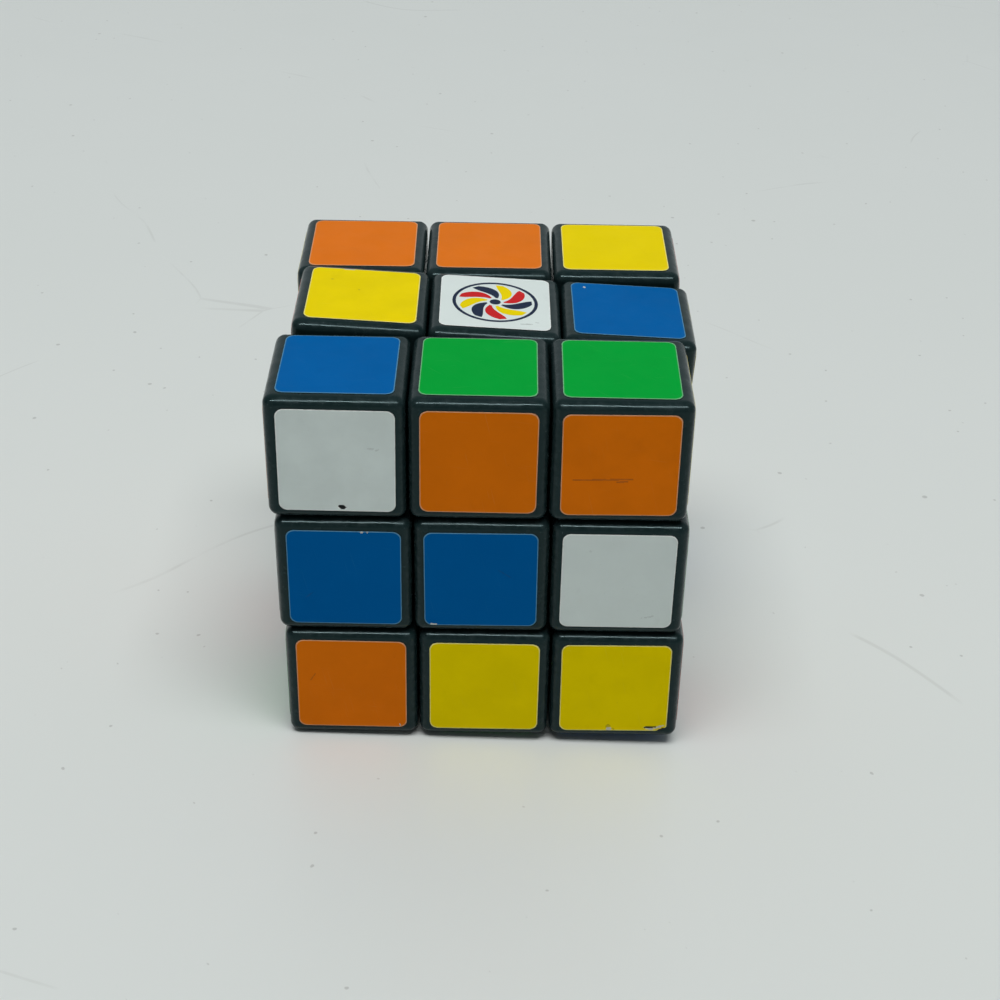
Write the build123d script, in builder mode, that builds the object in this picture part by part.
from build123d import *
import os
import random

# A 3 x 3 x 3 twisty puzzle cube of the stickered kind. The origin is the centre of its core,
# +Z is up and the front face looks along -Y. Every cubie is a hollow moulded shell on a foot
# that hooks under its neighbours, and the six centre cubies turn on sprung screws in the core.
# The front and back layers stand turned about Y against the middle layer, and their upper and
# lower rows have slid sideways.

# Driving dimensions, in millimetres and degrees
cube_width = 57.0  # over the stickers
cubie_pitch = 19.0  # between the middles of neighbouring cubies
seam_gap = 0.3  # between neighbouring cubies
wall = 1.6  # of the shells
edge_radius = 1.4  # on every edge of a cubie
sticker_width = 15.75
sticker_corner = 1.15
sticker_thickness = 0.1
sticker_stray = 0.1  # how far a sticker sits off the middle of its face
sticker_lean = 0.5  # how far a sticker is turned on its face
layer_turns = {"front": -1.4, "middle": 1.4, "back": -1.4}  # clockwise seen from the front
row_slides = {"up_front": -0.6, "down_front": 0.6, "up_back": 0.3, "down_back": -0.3}  # along X

# The mechanism: feet stay inside a sphere that the shells stay outside, and the play between
# them lets a row of cubies slide a little
retain_radius = 19.8
retain_play = 0.4  # each side of that sphere
foot_plane = 4.6  # where the feet of two layers meet, from the middle
slide_gap = 0.15  # each side of that plane
foot_inner_radius = 9.0
plug_radius = 3.2  # of the peg that joins a foot to its shell
plug_gap = 0.05
plug_length = 4.5
shoulder_radius = 4.3  # of the seat below an edge cubie's peg
corner_parting = 22.5  # where a corner's foot ends and its shell starts, along the diagonal

# The core, its screws and springs, and the centre cubies that turn on them
hub_radius = 6.5
arm_radius = 3.8
arm_end = 11.1
stem_start = 11.2
stem_radius = 4.3
stem_bore_radius = 3.0
stem_floor = 1.5
stem_hole_radius = 1.65
screw_radius = 1.5
screw_tip = 4.0
screw_pilot = 3.5
head_seat = 20.0
head_radius = 2.7
head_height = 1.8
recess_width = 0.7
recess_length = 3.2
recess_depth = 1.1
spring_radius = 2.3
wire_radius = 0.3
spring_coils = 5
cap_thickness = 1.8
skirt_gap = 0.05
skirt_wall = 1.2
skirt_depth = 3.0

# The colours of the stickers, face by face as each is seen from outside, row by row
colours = {"W": "white", "B": "blue", "O": "orange", "G": "green", "R": "red", "Y": "yellow"}
faces = {
    "up": ((0, 0, 1), (1, 0, 0), "OOY YWB BGG"),
    "down": ((0, 0, -1), (1, 0, 0), "WGB BYR RGW"),
    "front": ((0, -1, 0), (1, 0, 0), "WOO BBW OYY"),
    "back": ((0, 1, 0), (-1, 0, 0), "GBB OGY RRG"),
    "right": ((1, 0, 0), (0, 1, 0), "YYR GOW RWB"),
    "left": ((-1, 0, 0), (0, -1, 0), "YRO ORW WRG"),
}

# Worked out from the dimensions above
shell_half = cube_width / 2 - sticker_thickness
inner_face = (cubie_pitch + seam_gap) / 2
middle_width = cubie_pitch - seam_gap
outer_width = shell_half - inner_face
outer_middle = (shell_half + inner_face) / 2
shell_sphere = retain_radius + retain_play
foot_sphere = retain_radius - retain_play
foot_near = foot_plane + slide_gap
foot_width = 2 * (foot_plane - slide_gap)
cap_seat = shell_half - cap_thickness
beyond = 2 * retain_radius  # larger than anything it cuts
low_corner = (Align.MIN, Align.MIN, Align.MIN)


def name_of(direction):
    """The place of a cubie in words, such as up_front_left."""
    words = []
    for value, low, high in (
        (direction.Z, "down", "up"),
        (direction.Y, "front", "back"),
        (direction.X, "left", "right"),
    ):
        if abs(value) > 0.5:
            words.append(high if value > 0 else low)
    return "_".join(words)


def layer_of(direction):
    """The layer along Y that a cubie belongs to."""
    if abs(direction.Y) < 0.5:
        return "middle"
    return "back" if direction.Y > 0 else "front"


def seat_of(direction):
    """How far the cubie towards direction has turned with its layer and slid with its row."""
    slide = row_slides.get(name_of(Vector(0, direction.Y, direction.Z)), 0)
    return Rot(0, layer_turns[layer_of(direction)], 0) * Pos(slide, 0, 0)


def places(direction, flips):
    """Name, layer and location of each cubie that repeats the one towards direction."""
    found = {}
    for flip in flips:
        for quarter in range(4):
            place = Rot(0, 0, 90 * quarter) * flip
            side = (place * Pos(*direction)).position
            found[name_of(side)] = (layer_of(side), seat_of(side) * place)
    return found


corner_places = places((1, 1, 1), (Rot(0, 0, 0), Rot(180, 0, 0)))
edge_places = places((0, 1, 1), (Rot(0, 0, 0), Rot(180, 0, 0), Rot(0, 90, 0)))
centre_places = places((0, 0, 1), (Rot(0, 0, 0), Rot(180, 0, 0), Rot(90, 0, 0)))


def write(piece, name):
    """Label a finished piece and write its file."""
    piece.label = name
    export_step(piece, f"parts/{name}.step")


# Corner cubie towards +X +Y +Z. Its shell ends on a plane square to the diagonal, where the
# foot takes over the innermost corner of the block.
corner_axis = Plane(origin=(0, 0, 0), z_dir=(1, 1, 1))
corner_cut = corner_axis.offset(corner_parting)

with BuildPart() as corner_block:
    with Locations((outer_middle, outer_middle, outer_middle)):
        Box(outer_width, outer_width, outer_width)
    fillet(corner_block.edges(), edge_radius)

with BuildPart() as corner_shell:
    add(corner_block.part)
    with Locations((outer_middle, outer_middle, outer_middle)):
        hollow = outer_width - 2 * wall
        Box(hollow, hollow, hollow, mode=Mode.SUBTRACT)
    split(bisect_by=corner_cut, keep=Keep.TOP)
    with BuildSketch(corner_cut):
        Circle(plug_radius + plug_gap)
    extrude(amount=plug_length + plug_gap, mode=Mode.SUBTRACT)

with BuildPart() as corner_neck:
    add(corner_block.part)
    split(bisect_by=corner_cut, keep=Keep.BOTTOM)

with BuildPart() as corner_foot:
    with Locations((foot_near, foot_near, foot_near)):
        Box(beyond, beyond, beyond, align=low_corner)
    Sphere(foot_sphere, mode=Mode.INTERSECT)
    Sphere(foot_inner_radius, mode=Mode.SUBTRACT)
    add(corner_neck.part)
    with BuildSketch(corner_cut):
        Circle(plug_radius)
    extrude(amount=plug_length)

# Edge cubie towards +Y +Z. Its shell has a curved floor just outside the retaining sphere,
# and the foot's shoulder seats against that floor.
edge_axis = Plane(origin=(0, 0, 0), z_dir=(0, 1, 1))
edge_seat = edge_axis.offset(shell_sphere)

with BuildPart() as edge_cavity:
    with Locations((0, outer_middle, outer_middle)):
        Box(middle_width - 2 * wall, outer_width - 2 * wall, outer_width - 2 * wall)
    Sphere(shell_sphere + wall, mode=Mode.SUBTRACT)

with BuildPart() as edge_shell:
    with Locations((0, outer_middle, outer_middle)):
        Box(middle_width, outer_width, outer_width)
    fillet(edge_shell.edges(), edge_radius)
    add(edge_cavity.part, mode=Mode.SUBTRACT)
    Sphere(shell_sphere, mode=Mode.SUBTRACT)
    with BuildSketch(edge_seat):
        Circle(plug_radius + plug_gap)
    extrude(amount=plug_length, both=True, mode=Mode.SUBTRACT)

with BuildPart() as edge_shoulder:
    with BuildSketch(edge_seat):
        Circle(shoulder_radius)
    extrude(amount=-plug_length)
    Sphere(shell_sphere, mode=Mode.INTERSECT)

with BuildPart() as edge_foot:
    with Locations((0, foot_near, foot_near)):
        Box(foot_width, beyond, beyond, align=(Align.CENTER, Align.MIN, Align.MIN))
    Sphere(foot_sphere, mode=Mode.INTERSECT)
    Sphere(foot_inner_radius, mode=Mode.SUBTRACT)
    add(edge_shoulder.part)
    with BuildSketch(edge_seat):
        Circle(plug_radius)
    extrude(amount=plug_length, both=True)

# Centre cubie towards +Z: a base whose stem turns on a sprung screw, closed by a snap-in cap.
with BuildPart() as centre_block:
    with BuildSketch(Plane.XY.offset(shell_half)):
        Rectangle(middle_width, middle_width)
    extrude(amount=-outer_width)
    upright = centre_block.edges().filter_by(Axis.Z)
    fillet(upright + centre_block.faces().sort_by(Axis.Z)[-1].edges(), edge_radius)

with BuildPart() as centre_cavity:
    with BuildSketch(Plane.XY.offset(cap_seat)):
        Rectangle(middle_width - 2 * wall, middle_width - 2 * wall)
    extrude(amount=-outer_width)
    Sphere(shell_sphere + wall, mode=Mode.SUBTRACT)

with BuildPart() as centre_base:
    add(centre_block.part)
    split(bisect_by=Plane.XY.offset(cap_seat), keep=Keep.BOTTOM)
    add(centre_cavity.part, mode=Mode.SUBTRACT)
    Sphere(shell_sphere, mode=Mode.SUBTRACT)
    with BuildSketch(Plane.XY.offset(stem_start)):
        Circle(stem_radius)
    extrude(amount=shell_sphere + wall / 2 - stem_start)
    with BuildSketch(Plane.XY.offset(stem_start + stem_floor)):
        Circle(stem_bore_radius)
    extrude(amount=outer_width, mode=Mode.SUBTRACT)
    with BuildSketch(Plane.XY.offset(stem_start)):
        Circle(stem_hole_radius)
    extrude(amount=stem_floor, mode=Mode.SUBTRACT)

with BuildPart() as centre_cap:
    add(centre_block.part)
    split(bisect_by=Plane.XY.offset(cap_seat), keep=Keep.TOP)
    with BuildSketch(Plane.XY.offset(cap_seat)):
        skirt_width = middle_width - 2 * (wall + skirt_gap)
        Rectangle(skirt_width, skirt_width)
        Rectangle(skirt_width - 2 * skirt_wall, skirt_width - 2 * skirt_wall, mode=Mode.SUBTRACT)
    extrude(amount=-skirt_depth)

# Core, screws and springs
core_places = [Rot(0, layer_turns["middle"], 0) * Rot(0, -layer_turns[layer], 0) * place
               for layer, place in centre_places.values()]

with BuildPart() as core_spider:
    Sphere(hub_radius)
    for place in core_places:
        with Locations(place * Pos(0, 0, arm_end / 2)):
            Cylinder(arm_radius, arm_end)
    for place in core_places:
        with Locations(place * Pos(0, 0, (arm_end + screw_pilot) / 2)):
            Cylinder(screw_radius, arm_end - screw_pilot, mode=Mode.SUBTRACT)

with BuildPart() as screw:
    with BuildSketch(Plane.XY.offset(screw_tip)):
        Circle(screw_radius)
    extrude(amount=head_seat - screw_tip)
    chamfer(screw.faces().sort_by(Axis.Z)[0].edges(), screw_radius / 3)
    with BuildSketch(Plane.XY.offset(head_seat)):
        Circle(head_radius)
    extrude(amount=head_height)
    fillet(screw.faces().sort_by(Axis.Z)[-1].edges(), head_height / 2)
    with BuildSketch(Plane.XY.offset(head_seat + head_height)):
        Rectangle(recess_width, recess_length)
        Rectangle(recess_length, recess_width)
    extrude(amount=-recess_depth, mode=Mode.SUBTRACT)

spring_low = stem_start + stem_floor + wire_radius
spring_height = head_seat - wire_radius - spring_low

with BuildPart() as spring:
    with BuildLine() as coil:
        Helix(spring_height / spring_coils, spring_height, spring_radius, (0, 0, spring_low))
    with BuildSketch(Plane(origin=coil.line @ 0, z_dir=coil.line % 0)):
        Circle(wire_radius)
    sweep(is_frenet=True)

os.makedirs("parts", exist_ok=True)

write(core_spider.part, "core_spider")

for name, model in (("centre_screws", screw), ("centre_springs", spring)):
    with BuildPart() as fixings:
        with Locations(*core_places):
            add(model.part)
    write(fixings.part, name)

for name, (layer, place) in centre_places.items():
    for kind, model in (("centre_base", centre_base), ("centre_cap", centre_cap)):
        with BuildPart() as centre:
            with Locations(place):
                add(model.part)
        write(centre.part, f"{name}_{kind}")

shells = (("edge", edge_shell, edge_places), ("corner", corner_shell, corner_places))
for kind, model, where in shells:
    for name, (layer, place) in where.items():
        with BuildPart() as cubie:
            with Locations(place):
                add(model.part)
        write(cubie.part, f"{name}_{kind}")

for layer in layer_turns:
    with BuildPart() as feet:
        for model, where in ((edge_foot, edge_places), (corner_foot, corner_places)):
            for other, place in where.values():
                if other == layer:
                    with Locations(place):
                        add(model.part)
    write(feet.part, f"{layer}_layer_feet")

# Stickers: one node for each colour in each layer, and one for each centre cubie
random.seed(11)
sticker_planes = {}
for face, (out, along, letters) in faces.items():
    up = Vector(*out).cross(Vector(*along))
    for row, line in enumerate(letters.split()):
        for column, letter in enumerate(line):
            side = Vector(*out) + Vector(*along) * (column - 1) + up * (1 - row)
            layer = layer_of(side)
            spot = side * cubie_pitch + Vector(*out) * (shell_half - cubie_pitch)
            flat = Plane(spot, x_dir=along, z_dir=out).location
            stray = [random.uniform(-sticker_stray, sticker_stray) for _ in range(2)]
            lean = random.uniform(-sticker_lean, sticker_lean)
            stuck = seat_of(side) * flat * Pos(*stray) * Rot(0, 0, lean)
            if (row, column) == (1, 1):
                node = f"{face}_centre_sticker"
            else:
                node = f"{layer}_layer_{colours[letter]}_stickers"
            sticker_planes.setdefault(node, []).append(Plane(stuck))

for node, planes in sticker_planes.items():
    with BuildPart() as stickers:
        for plane in planes:
            with BuildSketch(plane):
                RectangleRounded(sticker_width, sticker_width, sticker_corner)
            extrude(amount=sticker_thickness)
    write(stickers.part, node)
